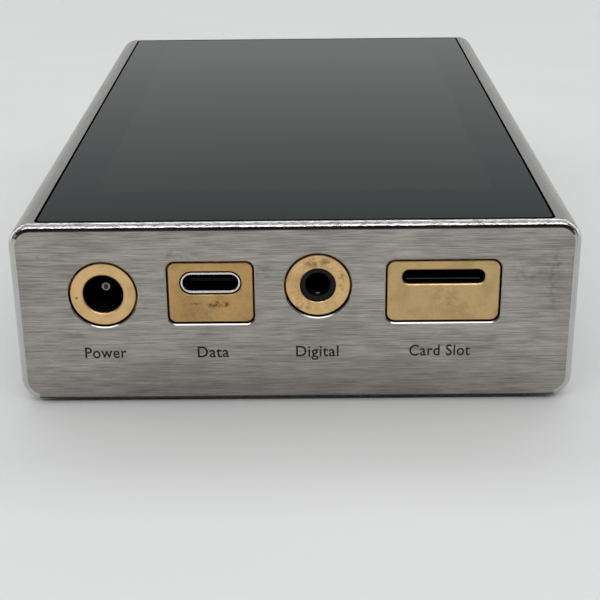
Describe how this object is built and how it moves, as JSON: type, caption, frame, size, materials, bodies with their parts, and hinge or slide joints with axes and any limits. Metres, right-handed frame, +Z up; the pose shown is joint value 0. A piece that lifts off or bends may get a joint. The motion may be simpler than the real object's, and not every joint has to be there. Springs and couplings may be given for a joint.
{
  "type": "desktop dac",
  "caption": "Slab-shaped desktop DAC and headphone amplifier with a steel body, glass top display, brass-ringed ports, side keys and a volume knob.",
  "frame": {"origin": "on the table, under the middle of the body's footprint", "axes": "+Z up out of the glass; +Y along the body from the port end to the knob end; +X to the side with the keys"},
  "size_m": [0.0856, 0.1445, 0.0293],
  "materials": {
    "steel_body": "fine hairline brushing across the ends, satin along the sides, polished edge round each end",
    "steel_cover": "satin",
    "dark_screw": "blackened",
    "bright_screw": "plated",
    "foot_rubber": "matt",
    "cover_glass": "dark, polished",
    "seal_black": "matt",
    "display_face": "switched off",
    "flex_film": "amber film",
    "plate_alloy": "rolled",
    "circuit_board": "solder mask",
    "brass_post": "turned",
    "chip_black": "moulded",
    "tinned_sheet": "tinned",
    "capacitor_sleeve": "shrink sleeve",
    "relay_case": "moulded",
    "battery_wrap": "foil pouch",
    "foam_black": "adhesive foam",
    "brass_insert": "satin, lightly aged",
    "moulding_black": "moulded",
    "plated_contact": "plated",
    "gold_contact": "gold plated",
    "spring_steel": "drawn wire",
    "brass_knob": "turned, satin",
    "turned_steel": "turned",
    "laminate": "epoxy laminate",
    "steel_key": "satin",
    "switch_can": "stamped"
  },
  "bodies": {
    "housing": {"chassis": "steel_body", "back_cover": "steel_cover", "back_cover_screws": "dark_screw", "foot_ring": "foot_rubber", "cover_glass": "cover_glass", "glass_gasket": "seal_black", "display_panel": "display_face", "display_flex": "flex_film", "mid_plate": "plate_alloy", "mid_plate_screws": "bright_screw", "digital_board": "circuit_board", "analog_board": "circuit_board", "board_standoffs": "brass_post", "board_screws": "bright_screw", "processor_chips": "chip_black", "processor_shield": "tinned_sheet", "converter_chips": "chip_black", "converter_shield": "tinned_sheet", "filter_capacitors": "capacitor_sleeve", "output_relays": "relay_case", "system_battery": "battery_wrap", "amplifier_battery": "battery_wrap", "battery_pads": "foam_black", "board_link_flex": "flex_film", "dc_inlet_ring": "brass_insert", "dc_inlet_body": "moulding_black", "dc_inlet_pin": "plated_contact", "data_port_plate": "brass_insert", "data_port_shell": "plated_contact", "data_port_tongue": "moulding_black", "coaxial_jack_ring": "brass_insert", "coaxial_jack_body": "moulding_black", "jack_contacts": "gold_contact", "card_slot_plate": "brass_insert", "card_socket_base": "moulding_black", "card_socket_cover": "plated_contact", "card_socket_contacts": "gold_contact", "card_slider_spring": "spring_steel", "balanced_jack_ring": "brass_insert", "balanced_jack_body": "moulding_black", "headphone_jack_rings": "brass_insert", "headphone_jack_bodies": "moulding_black", "volume_bushing": "turned_steel", "volume_nut": "turned_steel", "attenuator_body": "laminate", "switch_board": "circuit_board", "button_switches": "switch_can", "switch_board_screws": "bright_screw"},
    "volume": {"volume_knob": "brass_knob", "volume_shaft": "turned_steel", "knob_set_screw": "dark_screw"},
    "power_key": {"power_button": "steel_key", "power_plunger": "moulding_black"},
    "previous_key": {"previous_button": "steel_key", "previous_plunger": "moulding_black"},
    "play_key": {"play_button": "steel_key", "play_plunger": "moulding_black"},
    "next_key": {"next_button": "steel_key", "next_plunger": "moulding_black"},
    "card_runner": {"card_slider": "relay_case"}
  },
  "joints": [
    {"name": "volume_turn", "type": "hinge", "parent": "housing", "child": "volume", "pos_m": [0.022, 0.068, 0.0153], "axis": [0, 1, 0], "range_deg": [-150, 150]},
    {"name": "power_press", "type": "slide", "parent": "housing", "child": "power_key", "axis": [-1, 0, 0], "range_m": [0, 0.00035], "stiffness_N_per_m": 4000, "springref_m": -0.0001},
    {"name": "previous_press", "type": "slide", "parent": "housing", "child": "previous_key", "axis": [-1, 0, 0], "range_m": [0, 0.00035], "stiffness_N_per_m": 4000, "springref_m": -0.0001},
    {"name": "play_press", "type": "slide", "parent": "housing", "child": "play_key", "axis": [-1, 0, 0], "range_m": [0, 0.00035], "stiffness_N_per_m": 4000, "springref_m": -0.0001},
    {"name": "next_press", "type": "slide", "parent": "housing", "child": "next_key", "axis": [-1, 0, 0], "range_m": [0, 0.00035], "stiffness_N_per_m": 4000, "springref_m": -0.0001},
    {"name": "card_push", "type": "slide", "parent": "housing", "child": "card_runner", "axis": [0, 1, 0], "range_m": [0, 0.0015], "stiffness_N_per_m": 600, "springref_m": -0.0005, "deforming": ["card_slider_spring"]}
  ]
}
